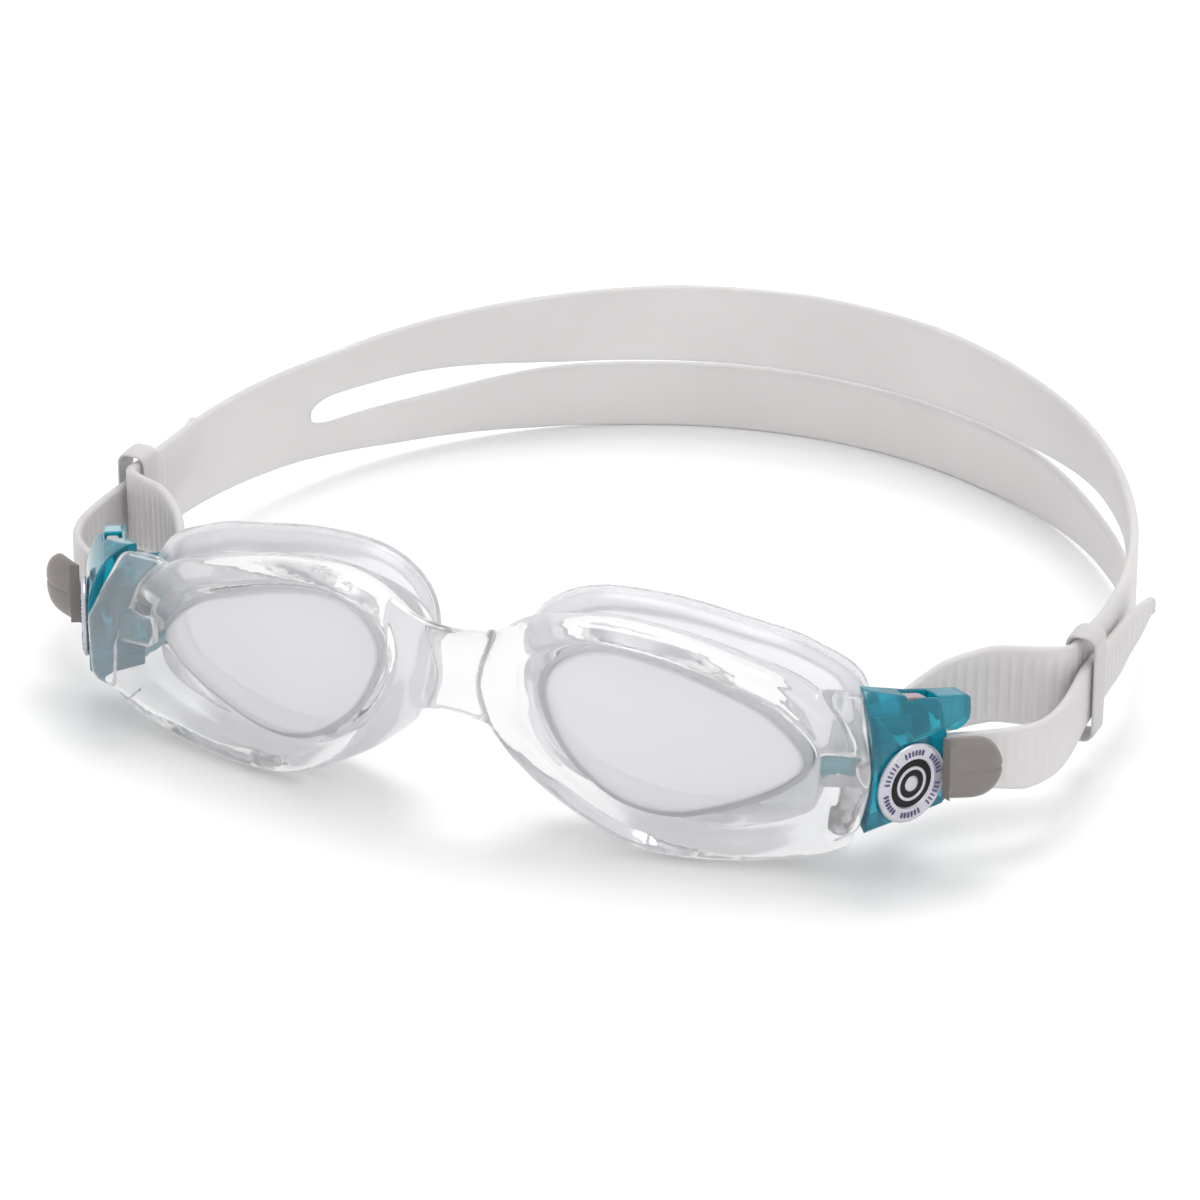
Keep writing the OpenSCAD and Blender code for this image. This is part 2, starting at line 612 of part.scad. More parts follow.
module strap_band() {
    n = len(route);
    function flat(i) = [route[i][0], route[i][1]];
    function side(i) = let (d = unit(flat(min(i + 1, n - 1)) - flat(max(i - 1, 0)))) [d[1], -d[0]];
    function ring(i) = let (k = route[i][2], s = side(i), g = slot_open(k),
        half = strap_t / 2, cut = ribbed(k) && i % 2 == 1 ? rib_depth : 0,
        a = flat(i) - s * half, b = flat(i) + s * (half - cut),
        shift = -s * 1.5 * smooth((k - 6.3) / 0.6),
        lo = lookup(k, low_edge), hi = lookup(k, top_edge), mid = g > 0 ? slot_mid : (lo + hi) / 2)
        [[a[0], a[1], lo], [b[0], b[1], lo], [b[0], b[1], mid - g / 2], [a[0], a[1], mid - g / 2],
            [a[0] + shift[0], a[1] + shift[1], mid + g / 2], [b[0] + shift[0], b[1] + shift[1], mid + g / 2],
            [b[0] + shift[0], b[1] + shift[1], hi], [a[0] + shift[0], a[1] + shift[1], hi]];
    points = [for (i = [0:n - 1]) for (p = ring(i)) p];
    // Where the slot is shut, both bands share the four middle corners
    function shut(i) = slot_open(route[i][2]) == 0;
    function at(i, j) = i * 8 + (shut(i) && j == 5 ? 2 : shut(i) && j == 4 ? 3 : j);
    function quad(i, j, l) = [[at(i, j), at(i, l), at(i + 1, l)], [at(i, j), at(i + 1, l), at(i + 1, j)]];
    edges = [[0, 1], [1, 2], [3, 0], [5, 6], [6, 7], [7, 4]];
    walls = [[2, 3], [4, 5]];
    faces = concat(
        [for (i = [0:n - 2]) for (e = edges) for (f = quad(i, e[0], e[1])) f],
        [for (i = [0:n - 2]) if (!(shut(i) && shut(i + 1))) for (e = walls) for (f = quad(i, e[0], e[1])) f],
        [[at(0, 0), at(0, 3), at(0, 2)], [at(0, 0), at(0, 2), at(0, 1)],
            [at(0, 3), at(0, 7), at(0, 6)], [at(0, 3), at(0, 6), at(0, 2)]],
        let (e = n - 1) [[at(e, 0), at(e, 2), at(e, 3)], [at(e, 0), at(e, 1), at(e, 2)],
            [at(e, 3), at(e, 6), at(e, 7)], [at(e, 3), at(e, 2), at(e, 6)]]);
    translate([0, -mid_y, 0]) polyhedron(points = points, faces = faces, convexity = 8);
}

module head_strap() {
    color([0.84, 0.83, 0.83, 0.8]) strap_band();
}

// --- Keeper: a loop round both plies that slides along them ---
keeper_y = straight_y + 2.8;
module strap_keeper() {
    inner_w = 2 * strap_t + strap_gap + 2 * keeper_gap;
    low = side_low + 1.4 - keeper_gap - 0.1;
    high = side_low + strap_side_h + 0.8 + keeper_gap;
    mid_x = (loop_x + outer_x) / 2;
    translate([mid_x, keeper_y - keeper_len / 2 - mid_y, 0]) rotate([90, 0, 0]) mirror([0, 0, 1])
        linear_extrude(keeper_len) difference() {
            hull() {
                translate([-inner_w / 2, low]) circle(keeper_wall);
                translate([inner_w / 2, low]) circle(keeper_wall);
                translate([-inner_w / 2, high]) circle(keeper_wall);
                translate([inner_w / 2, high]) circle(keeper_wall);
            }
            translate([-inner_w / 2, low]) square([inner_w, high - low]);
        }
}
module strap_keeper_left() {
    color([0.85, 0.84, 0.84, 0.8]) strap_keeper();
}
module strap_keeper_right() {
    color([0.85, 0.84, 0.84, 0.8]) mirror([1, 0, 0]) strap_keeper();
}

front_frame();
lens_left();
lens_right();
skirt_left();
skirt_right();
buckle_housing_left();
buckle_housing_right();
badge_left();
badge_right();
release_lever_left();
release_lever_right();
pivot_pin_left();
pivot_pin_right();
return_spring_left();
return_spring_right();
strap_bar_left();
strap_bar_right();
strap_keeper_left();
strap_keeper_right();
head_strap();
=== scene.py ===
"""Clear swim goggles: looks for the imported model, in metres, wearer looking along -Y."""
import math

import bmesh
import bpy
import numpy as np
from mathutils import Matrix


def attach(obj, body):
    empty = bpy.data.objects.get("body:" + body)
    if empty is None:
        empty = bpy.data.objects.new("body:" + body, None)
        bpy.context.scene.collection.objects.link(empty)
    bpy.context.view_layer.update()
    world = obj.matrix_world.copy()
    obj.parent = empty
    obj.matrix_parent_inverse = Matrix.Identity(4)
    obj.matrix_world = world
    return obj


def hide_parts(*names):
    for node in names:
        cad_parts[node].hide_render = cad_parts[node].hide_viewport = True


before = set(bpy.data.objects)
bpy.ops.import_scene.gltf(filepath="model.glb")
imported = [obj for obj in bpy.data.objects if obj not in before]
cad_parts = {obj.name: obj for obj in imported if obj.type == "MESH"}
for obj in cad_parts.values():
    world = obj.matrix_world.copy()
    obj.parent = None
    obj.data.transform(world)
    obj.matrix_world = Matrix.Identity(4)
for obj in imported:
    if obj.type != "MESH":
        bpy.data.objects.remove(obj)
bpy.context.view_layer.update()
MM = 0.001
SIDES = (("left", 1.0), ("right", -1.0))

# ---------------------------------------------------------------- sizes, in millimetres
# Windows and the way they sit: turned round the face, leaned back, and the middle of the pane's front
WINDOW_W, WINDOW_H, WINDOW_NOSE = 39.8, 24.6, 13.9
WRAP, LEAN = math.radians(9.7), math.radians(5.5)
LENS_FRONT, LENS_Z = 11.8, 18.75
# Rims round the window, and how far they stand before and behind it
RING_NOSE, RING_TEMPLE, RING_TOP, RING_FOOT = 10.2, 7.6, 4.6, 6.2
RING_CREST, RING_BACK = 2.9, 4.4
SEAL_NOSE, SEAL_TEMPLE, SEAL_TOP, SEAL_FOOT = 5.1, 7.6, 7.1, 4.6
SEAL_NOSE_DEPTH, SEAL_TEMPLE_DEPTH = 4.8, 6.2
FLANGE = 1.6
# The whole is centred front to back by this much
MID_Y = 61.925
# Buckle: a runs back along the housing, d inward from its outer face
BUCKLE_X, BUCKLE_Y, BUCKLE_TURN = 63.5, -7.2, math.radians(60.9)
HOUSING_Z, HOUSING_H, HOUSING_LEN = 9.0, 20.3, 15.8
BAR_A, BAR_DEPTH, BAR_D = 13.5, 9.6, 3.6
SEAM_TURN, SEAM_BOW, SEAM_GAP = math.radians(27), 1.5, 0.12
TONGUE_TURN, TONGUE_GAP = WRAP - BUCKLE_TURN + math.pi, 0.15
TONGUE_A, TONGUE_D, TONGUE_Z = (-1.1, 7.0), (-7.9, -5.9), (HOUSING_Z + 5.2, HOUSING_Z + 9.6)
HOOK_D, HOOK_SHAPE = (3.0, 6.4), [(16.4, 23.6), (16.6, 21.6), (17.8, 19.9), (19.4, 19.15), (21.4, 19.2),
                                  (22.7, 20.2), (22.95, 22), (22.6, 23.6), (21.2, 24.5), (18.2, 24.9)]
BUTTON_FRONT, BUTTON_LEN = HOUSING_LEN - 1.8, 7.6
BUTTON_LOW, BUTTON_H, BUTTON_T = HOUSING_Z + 2.6, 10.0, 3.0
BUTTON_STAND, BUTTON_FLARE = 2.7, 3.5
KEY_A, KEY_D, KEY_LEN, KEY_W = HOUSING_LEN - 3.6, 4.3, 4.6, 1.9
BADGE_A, BADGE_Z, BADGE_SEAT = 8.4, HOUSING_Z + 6.6, 0.05
# Strap: its loop seen from above, its edges, its slot at the back and its ribs
LOOP_X, LOOP_DEPTH, LOOP_START = 79.4, 86.0, 51.0
STRAP_T, STRAP_GAP = 1.5, 0.3
STRAIGHT_Y, HOLD_Y = 38.5, 55.0
LEAVE_ANGLE, TURN_ANGLE = 30.0, 126.0
STRAP_LOW, STRAP_TOP, SIDE_LOW, SIDE_H, BACK_H = 10.6, 20.6, 6.0, 16.0, 27.0
SLOT_START, SLOT_MID, SLOT_H = 6.27, 12.3, 4.8
RIB_DEPTH, RIB_PITCH, RIB_SHOWS = 0.35, 1.75, 0.25
KEEPER_Y, KEEPER_LEN, KEEPER_T = STRAIGHT_Y + 2.8, 4.9, 0.6
# Grain of the melted skins
FRAME_VOXEL, HOUSING_VOXEL, LEVER_VOXEL = 0.34, 0.2, 0.16

# Outlines as shares of their width and height, nose end first
WINDOW_SHAPE = [(-0.5, 0.22), (-0.435, 0.4), (-0.285, 0.49), (-0.08, 0.445), (0.15, 0.325),
                (0.35, 0.18), (0.485, -0.05), (0.42, -0.215), (0.23, -0.38), (0, -0.49),
                (-0.2, -0.44), (-0.36, -0.25), (-0.455, -0.03)]
RING_SHAPE = [(-0.5, 0.17), (-0.425, 0.415), (-0.23, 0.5), (-0.02, 0.475), (0.18, 0.4),
              (0.365, 0.29), (0.485, 0.05), (0.5, -0.335), (0.3, -0.465), (0.05, -0.5),
              (-0.12, -0.445), (-0.325, -0.25), (-0.455, -0.035)]
SEAL_SHAPE = [(-0.5, 0.24), (-0.438, 0.408), (-0.295, 0.496), (-0.076, 0.485), (0.133, 0.422),
              (0.333, 0.345), (0.486, 0.183), (0.457, -0.254), (0.324, -0.408), (0.057, -0.49),
              (-0.171, -0.45), (-0.39, -0.296), (-0.49, -0.056)]


# ---------------------------------------------------------------- mesh helpers
def new_object(name, mesh):
    """An object at the origin that holds the mesh."""
    piece = bpy.data.objects.new(name, mesh)
    bpy.context.scene.collection.objects.link(piece)
    return piece


def raw_mesh(name, points, faces):
    """A mesh from millimetre points and index faces, doubles merged, ends closed, normals out."""
    mesh = bpy.data.meshes.new(name)
    mesh.from_pydata((np.asarray(points) * MM).tolist(), [], [list(f) for f in faces])
    tidy = bmesh.new()
    tidy.from_mesh(mesh)
    loose = [v for v in tidy.verts if not v.link_faces]
    bmesh.ops.delete(tidy, geom=loose, context="VERTS")
    bmesh.ops.remove_doubles(tidy, verts=tidy.verts, dist=2e-6)
    bmesh.ops.holes_fill(tidy, edges=tidy.edges, sides=0)
    bmesh.ops.recalc_face_normals(tidy, faces=tidy.faces)
    tidy.to_mesh(mesh)
    tidy.free()
    return mesh


def finish(name, mesh, body, material, nodes=(), smooth=True):
    """Shades a piece, gives it its finish and slot, rides it on its body and hides what it replaces."""
    mesh.polygons.foreach_set("use_smooth", np.full(len(mesh.polygons), smooth))
    mesh.materials.clear()
    mesh.materials.append(material)
    piece = new_object(name, mesh)
    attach(piece, body)
    if nodes:
        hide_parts(*nodes)
    return piece


def block_mesh(name, corners, side):
    """A closed block from eight corners in the order of a 2 by 2 by 2 grid."""
    faces = [(0, 1, 3, 2), (4, 6, 7, 5), (0, 4, 5, 1), (2, 3, 7, 6), (0, 2, 6, 4), (1, 5, 7, 3)]
    return raw_mesh(name, mirrored(corners.reshape(-1, 3), side), faces)


def grid_faces(rows, cols, close_rows=False, close_cols=True):
    """Quads between neighbours of a rows by cols grid of points."""
    r = np.arange(rows if close_rows else rows - 1)
    c = np.arange(cols if close_cols else cols - 1)
    i, j = np.meshgrid(r, c, indexing="ij")
    a, b = i * cols + j, i * cols + (j + 1) % cols
    k = (i + 1) % rows
    return np.stack([a, b, k * cols + (j + 1) % cols, k * cols + j], -1).reshape(-1, 4)


def applied(mesh, *steps):
    """The mesh after a row of modifiers, each given as (type, settings)."""
    holder = new_object("work", mesh)
    for kind, settings in steps:
        modifier = holder.modifiers.new(kind.lower(), kind)
        for key, value in settings.items():
            setattr(modifier, key, value)
    view = bpy.context.evaluated_depsgraph_get()
    result = bpy.data.meshes.new_from_object(holder.evaluated_get(view))
    bpy.data.objects.remove(holder)
    return result


def joined(meshes):
    """One mesh of several, side by side."""
    whole = bmesh.new()
    for mesh in meshes:
        whole.from_mesh(mesh)
    result = bpy.data.meshes.new("joined")
    whole.to_mesh(result)
    whole.free()
    return result


def cut(mesh, cutter, how="DIFFERENCE"):
    """The mesh less the cutter's solid, or what both share."""
    tool = new_object("cutter", cutter)
    result = applied(mesh, ("BOOLEAN", {"operation": how, "object": tool, "solver": "EXACT"}))
    bpy.data.objects.remove(tool)
    return result


def moulded(mesh, voxel, passes):
    """Melts overlapping solids into one skin with softly rounded edges."""
    return applied(mesh, ("REMESH", {"mode": "VOXEL", "voxel_size": voxel * MM}),
                   ("SMOOTH", {"factor": 0.5, "iterations": passes}))


def node_copy(node):
    """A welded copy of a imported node's mesh."""
    mesh = bpy.data.objects[node].data.copy()
    weld = bmesh.new()
    weld.from_mesh(mesh)
    bmesh.ops.remove_doubles(weld, verts=weld.verts, dist=2e-6)
    weld.to_mesh(mesh)
    weld.free()
    return mesh


def mirrored(points, side):
    """Points of the wearer's left carried to the side by its sign."""
    return np.asarray(points) * np.array([side, 1.0, 1.0])


# ---------------------------------------------------------------- curves
def closed_curve(points, steps):
    """Catmull-Rom curve: each stretch is the cubic through two points with their neighbours' slope."""
    p = np.asarray(points, float)
    a, b, c, d = np.roll(p, 1, 0), p, np.roll(p, -1, 0), np.roll(p, -2, 0)
    t = (np.arange(steps) / steps)[None, :, None]
    a, b, c, d = (q[:, None, :] for q in (a, b, c, d))
    curve = 0.5 * (2 * b + (c - a) * t + (2 * a - 5 * b + 4 * c - d) * t ** 2
                   + (3 * b - 3 * c + d - a) * t ** 3)
    return curve.reshape(-1, p.shape[1])


def softened(section, rounds=3):
    """Chaikin's rule: every corner is cut a quarter from each side, round after round."""
    p = np.asarray(section, float)
    for _ in range(rounds):
        q = np.roll(p, -1, 0)
        p = np.stack([0.75 * p + 0.25 * q, 0.25 * p + 0.75 * q], 1).reshape(-1, p.shape[1])
    return p


def smoothstep(t):
    """3t^2 - 2t^3 between 0 and 1."""
    t = np.clip(t, 0, 1)
    return t * t * (3 - 2 * t)


def signed_power(value, power):
    """The size of a value to a power, under the value's own sign: the corners of a superellipse."""
    return np.sign(value) * np.abs(value) ** power


def outline(shape, width, height, mid_u, mid_v):
    """A unit outline drawn at its width and height."""
    return closed_curve(shape, 16) * [width, height] + [mid_u, mid_v]


WINDOW = outline(WINDOW_SHAPE, WINDOW_W, WINDOW_H, WINDOW_NOSE + WINDOW_W / 2, 0)
RING = outline(RING_SHAPE, RING_NOSE + WINDOW_W + RING_TEMPLE, RING_TOP + WINDOW_H + RING_FOOT,
               WINDOW_NOSE + (WINDOW_W + RING_TEMPLE - RING_NOSE) / 2, (RING_TOP - RING_FOOT) / 2)
SEAL = outline(SEAL_SHAPE, SEAL_NOSE + WINDOW_W + SEAL_TEMPLE, SEAL_TOP + WINDOW_H + SEAL_FOOT,
               WINDOW_NOSE + (WINDOW_W + SEAL_TEMPLE - SEAL_NOSE) / 2, (SEAL_TOP - SEAL_FOOT) / 2)
_ahead = np.roll(WINDOW, -1, 0) - np.roll(WINDOW, 1, 0)
OUTWARD = np.stack([-_ahead[:, 1], _ahead[:, 0]], -1) / np.linalg.norm(_ahead, axis=1)[:, None]


def at_lens(u, v, w):
    """Lens-plane place: u to the temple, v up, w forward, leaned back and wrapped round the face."""
    u, v, w = np.broadcast_arrays(u, v, w)
    y = v * math.sin(LEAN) - w * math.cos(LEAN)
    z = v * math.cos(LEAN) + w * math.sin(LEAN)
    return np.stack([u * math.cos(WRAP) - y * math.sin(WRAP),
                     u * math.sin(WRAP) + y * math.cos(WRAP) - LENS_FRONT - MID_Y, z + LENS_Z], -1)


def at_buckle(a, d, z):
    """Buckle place: a back along the housing, d inward from its outer face, z up."""
    a, d, z = np.broadcast_arrays(a, d, z)
    x = BUCKLE_X + a * math.cos(BUCKLE_TURN) - d * math.sin(BUCKLE_TURN)
    y = BUCKLE_Y + a * math.sin(BUCKLE_TURN) + d * math.cos(BUCKLE_TURN) - MID_Y
    return np.stack([x, y, z], -1)


def ring_sweep(section, rim, side):
    """Carries a section round the window: share of the way to the rim, millimetres out, forward."""
    s = np.asarray(section)[None]
    flat = WINDOW[:, None] + (rim - WINDOW)[:, None] * s[..., :1] + OUTWARD[:, None] * s[..., 1:2]
    depth = SEAL_NOSE_DEPTH + (SEAL_TEMPLE_DEPTH - SEAL_NOSE_DEPTH) * smoothstep(
        (flat[..., 0] - WINDOW_NOSE) / WINDOW_W)
    w = s[..., 2] - s[..., 3] * depth
    points = at_lens(flat[..., 0], flat[..., 1], w).reshape(-1, 3)
    return raw_mesh("sweep", mirrored(points, side), grid_faces(len(WINDOW), s.shape[1], True))


# ---------------------------------------------------------------- finishes
def finish_nodes(name):
    """An empty material and the pieces that every finish starts from."""
    material = bpy.data.materials.new(name)
    material.use_nodes = True
    tree = material.node_tree
    shader = tree.nodes["Principled BSDF"]
    place = tree.nodes.new("ShaderNodeTexCoord")
    return material, tree, shader, place.outputs["Object"]


def grain(tree, place, scale, detail=3.0):
    """Fine noise in object space."""
    noise = tree.nodes.new("ShaderNodeTexNoise")
    noise.inputs["Scale"].default_value = scale
    noise.inputs["Detail"].default_value = detail
    tree.links.new(place, noise.inputs["Vector"])
    return noise.outputs["Fac"]


def between(tree, factor, first, second):
    """A colour that drifts between two tones as the noise does."""
    ramp = tree.nodes.new("ShaderNodeValToRGB")
    ramp.color_ramp.elements[0].position = 0.3
    ramp.color_ramp.elements[1].position = 0.7
    ramp.color_ramp.elements[0].color = (*first, 1)
    ramp.color_ramp.elements[1].color = (*second, 1)
    tree.links.new(factor, ramp.inputs["Fac"])
    return ramp.outputs["Color"]


def moulded_finish(name, first, second, rough, colour_scale, wave, **sockets):
    """A moulded surface: tone drifting between two colours, uneven gloss, and a ripple.

    The ripple is given as its scale, strength and depth in millimetres.
    """
    material, tree, shader, place = finish_nodes(name)
    tone = grain(tree, place, colour_scale, 2.0)
    tree.links.new(between(tree, tone, first, second), shader.inputs["Base Color"])
    gloss = tree.nodes.new("ShaderNodeMapRange")
    gloss.inputs["To Min"].default_value, gloss.inputs["To Max"].default_value = rough
    tree.links.new(grain(tree, place, colour_scale * 3), gloss.inputs["Value"])
    tree.links.new(gloss.outputs["Result"], shader.inputs["Roughness"])
    scale, strength, depth = wave
    ripple = tree.nodes.new("ShaderNodeBump")
    ripple.inputs["Strength"].default_value = strength
    ripple.inputs["Distance"].default_value = depth * MM
    tree.links.new(grain(tree, place, scale, 2.0), ripple.inputs["Height"])
    tree.links.new(ripple.outputs["Normal"], shader.inputs["Normal"])
    for socket, value in sockets.items():
        shader.inputs[socket.replace("_", " ")].default_value = value
    return material


clear_frame = moulded_finish("clear_frame", (0.90, 0.905, 0.915), (0.95, 0.95, 0.955), (0.03, 0.08),
                             60, (120, 0.03, 0.1), Transmission_Weight=0.88, IOR=1.27, Coat_Weight=0.7,
                             Coat_IOR=1.5, Coat_Roughness=0.05)
clear_lens = moulded_finish("clear_lens", (0.86, 0.86, 0.89), (0.885, 0.885, 0.91), (0.02, 0.05),
                            40, (60, 0.03, 0.05), Transmission_Weight=0.35, IOR=1.2)
clear_seal = moulded_finish("clear_seal", (0.88, 0.88, 0.905), (0.93, 0.93, 0.95), (0.16, 0.28),
                            50, (200, 0.15, 0.15), Transmission_Weight=0.85, IOR=1.38)
teal = moulded_finish("teal_plastic", (0.0, 0.31, 0.44), (0.0, 0.47, 0.61), (0.03, 0.08),
                      110, (250, 0.1, 0.1), Transmission_Weight=0.72, IOR=1.5)
strap_skin = moulded_finish("strap_silicone", (0.775, 0.758, 0.754), (0.835, 0.818, 0.814), (0.35, 0.5),
                            30, (900, 0.15, 0.05), Transmission_Weight=0.35, IOR=1.4)
keeper_skin = moulded_finish("keeper_silicone", (0.72, 0.705, 0.70), (0.78, 0.765, 0.76), (0.35, 0.5),
                             40, (900, 0.15, 0.05), Transmission_Weight=0.4, IOR=1.4)
button_grey = moulded_finish("button_grey", (0.20, 0.18, 0.17), (0.235, 0.21, 0.2), (0.32, 0.45),
                             120, (1800, 0.3, 0.04))
key_rose = moulded_finish("key_rose", (0.36, 0.27, 0.29), (0.42, 0.32, 0.34), (0.3, 0.45),
                          120, (1800, 0.2, 0.03))
badge_silver = moulded_finish("badge_silver", (0.52, 0.51, 0.56), (0.60, 0.59, 0.64), (0.22, 0.34),
                              200, (1500, 0.1, 0.02), Metallic=0.6)
badge_black = moulded_finish("badge_black", (0.008, 0.008, 0.009), (0.015, 0.015, 0.016),
                             (0.4, 0.55), 200, (900, 0.08, 0.02), Specular_IOR_Level=0.2)
badge_tick = moulded_finish("badge_tick", (0.05, 0.05, 0.16), (0.08, 0.08, 0.22), (0.25, 0.35),
                            200, (900, 0.08, 0.02))
pin_steel = moulded_finish("pin_steel", (0.60, 0.60, 0.61), (0.70, 0.70, 0.71), (0.2, 0.3),
                           300, (1200, 0.1, 0.02), Metallic=1.0)
bar_grey = moulded_finish("bar_grey", (0.24, 0.22, 0.21), (0.28, 0.26, 0.25), (0.35, 0.5),
                          120, (1500, 0.2, 0.03))

# ---------------------------------------------------------------- clear frame
RING_SECTION = [(0, 0.06, 0.3, 0), (0, 0.06, -1.3, 0), (0, FLANGE, -1.3, 0), (0, FLANGE, -RING_BACK, 0),
                (0.86, 0, -RING_BACK, 0), (1, 0, -RING_BACK + 0.9, 0), (1.01, 0, -1.2, 0),
                (1.0, 0, 0.8, 0), (0.92, 0, RING_CREST * 0.78, 0), (0.72, 0, RING_CREST + 0.1, 0),
                (0.5, 0, RING_CREST * 0.92, 0), (0.4, 0, RING_CREST * 0.6, 0),
                (0.24, 0, RING_CREST * 0.6, 0)]


def sharp(section, near=0.12):
    """Adds a point close to each corner on both sides, so that softening keeps it crisp."""
    p = np.asarray(section, float)
    before, after = np.roll(p, 1, 0), np.roll(p, -1, 0)
    return np.stack([p + (before - p) * near, p, p + (after - p) * near], 1).reshape(-1, p.shape[1])


def bridge_mesh():
    """Superellipse sections carried across the nose, taller and deeper towards each ring."""
    x = np.linspace(-10.6, 10.6, 49)[:, None]
    flare = np.abs(x / 10.6) ** 2.2
    angle = np.linspace(0, 2 * np.pi, 48, endpoint=False)[None]
    c, s = np.cos(angle), np.sin(angle)
    y = -LENS_FRONT + 1.5 * flare - MID_Y - 2.1 * signed_power(c, 0.7)
    z = LENS_Z + 7.0 - 0.9 * flare + (6.8 + 3.4 * flare) * signed_power(s, 0.7)
    points = np.stack(np.broadcast_arrays(x, y, z), -1).reshape(-1, 3)
    return raw_mesh("bridge", points, grid_faces(49, 48))


def ball_points(centre, radius, n=16):
    """Points of a ball: longitude and latitude circles."""
    t, f = np.meshgrid(np.linspace(0, 2 * np.pi, 2 * n, endpoint=False),
                       np.linspace(-np.pi / 2, np.pi / 2, n))
    unit = np.stack([np.cos(f) * np.cos(t), np.cos(f) * np.sin(t), np.sin(f)], -1).reshape(-1, 3)
    return unit * radius + centre


def temple_mesh(side):
    """The convex skin over balls at the ring's end and at the buckle's seam."""
    ring_u = WINDOW_NOSE + WINDOW_W + RING_TEMPLE - 5.6
    top = HOUSING_Z + HOUSING_H
    places = [at_lens(ring_u, 7.6, -1.2), at_lens(ring_u, -13.0, -0.6),
              at_buckle(-1.2, 2.2, HOUSING_Z + 2.3), at_buckle(1.0, 1.9, HOUSING_Z + HOUSING_H * 0.48),
              at_buckle(3.0, 6.6, top - 2.4), at_buckle(3.0, 9.4, top - 3.0),
              at_buckle(0.0, 8.6, HOUSING_Z + 2.5)]
    skin = bmesh.new()
    for place in places:
        for point in mirrored(ball_points(place, 2.0), side) * MM:
            skin.verts.new(point)
    bmesh.ops.convex_hull(skin, input=skin.verts)
    bmesh.ops.delete(skin, geom=[v for v in skin.verts if not v.link_faces], context="VERTS")
    mesh = bpy.data.meshes.new("temple")
    skin.to_mesh(mesh)
    skin.free()
    return mesh


def seam_mesh(side, gap=0.0):
    """Everything behind the seam: a block turned to it, whose front is a parabola in height.

    The parabola is 4 s (1 - s) times the bow, with s the share of the height.
    """
    cos, sin = math.cos(SEAM_TURN), math.sin(SEAM_TURN)
    share = np.linspace(0, 1, 29)
    z = HOUSING_Z + HOUSING_H * (1.4 * share - 0.2)
    front = (1.4 * share - 0.8 + SEAM_BOW * 4 * share * (1 - share)) * cos + gap
    loop = np.concatenate([np.stack([front, z], -1), [[60, z[-1]], [60, z[0]]]])
    rows = [at_buckle(loop[:, 0] * cos + depth * sin, depth * cos - loop[:, 0] * sin, loop[:, 1])
            for depth in (-20.0, 60.0)]
    return raw_mesh("seam", mirrored(np.concatenate(rows), side), grid_faces(2, len(loop)))


def window_block(side):
    """A straight block through the lens seat, from behind the ring to in front of it."""
    edge = WINDOW + OUTWARD * FLANGE
    rows = [at_lens(edge[:, 0], edge[:, 1], w) for w in (-20.0, 20.0)]
    return raw_mesh("window", mirrored(np.concatenate(rows), side), grid_faces(2, len(edge)))


def tongue_block(side, gap):
    """The housing's tongue: a block turned to the front's wrap, grown by a gap all round."""
    grow = np.array([-gap, gap])
    cos, sin = math.cos(TONGUE_TURN), math.sin(TONGUE_TURN)
    a, d, z = np.meshgrid(TONGUE_A + grow, TONGUE_D + grow, TONGUE_Z + grow, indexing="ij")
    return block_mesh("tongue", at_buckle(a * cos - d * sin, a * sin + d * cos, z), side)


frame_parts = [bridge_mesh()]
for label, side in SIDES:
    ring = ring_sweep(softened(sharp(RING_SECTION)), RING, side)
    frame_parts.append(cut(ring, seam_mesh(side)))
    frame_parts.append(cut(cut(temple_mesh(side), window_block(side)), seam_mesh(side)))
whole = moulded(joined(frame_parts), FRAME_VOXEL, 16)
for label, side in SIDES:
    whole = cut(whole, tongue_block(side, TONGUE_GAP))
finish("clear_front", whole, "goggles", clear_frame, ["front_frame"])


# ---------------------------------------------------------------- lenses and seals
def lens_mesh(side):
    """A clear pane: the window curve shrunk to its middle in rings, with a flange behind the ring.

    The front is domed by 0.35 (1 - share squared), with the share of the way to the edge. The back is flat.
    """
    centre = WINDOW.mean(0)
    share = np.linspace(0.02, 1, 24)[:, None]
    flat = centre + (WINDOW - centre) * share[..., None]
    front = at_lens(flat[..., 0], flat[..., 1], 0.35 * (1 - share ** 2) - 0.02)
    back = at_lens(flat[..., 0], flat[..., 1], -1.7)
    edge = WINDOW + OUTWARD * (FLANGE - 0.1)
    rim = [at_lens(line[:, 0], line[:, 1], w)
           for line, w in ((WINDOW, -1.32), (edge, -1.32), (edge, -2.4), (WINDOW, -2.4))]
    rows = [*front, *rim, *back[::-1]]
    return raw_mesh("lens", mirrored(np.concatenate(rows), side), grid_faces(len(rows), len(WINDOW)))


SEAL_BASE = -RING_BACK - 0.02
SEAL_SECTION = [(0.1, 1.3, SEAL_BASE, 0), (0.1, 1.3, SEAL_BASE - 0.8, 0), (0.5, 0, SEAL_BASE - 1, 0.06),
                (0.82, -0.44, SEAL_BASE, 0.4), (0.92, -0.66, SEAL_BASE, 0.8), (0.88, -0.66, SEAL_BASE, 0.96),
                (0.88, -1.6, SEAL_BASE, 1), (0.88, -3.2, SEAL_BASE, 0.94), (0.88, -3.2, SEAL_BASE - 0.6, 1),
                (0.9, -1.44, SEAL_BASE - 0.8, 1.04), (0.94, 0, SEAL_BASE - 0.4, 1.02), (1, 0, SEAL_BASE, 0.8),
                (0.93, 0, SEAL_BASE, 0.4), (0.84, 0, SEAL_BASE, 0.12), (0.68, 0, SEAL_BASE, 0)]

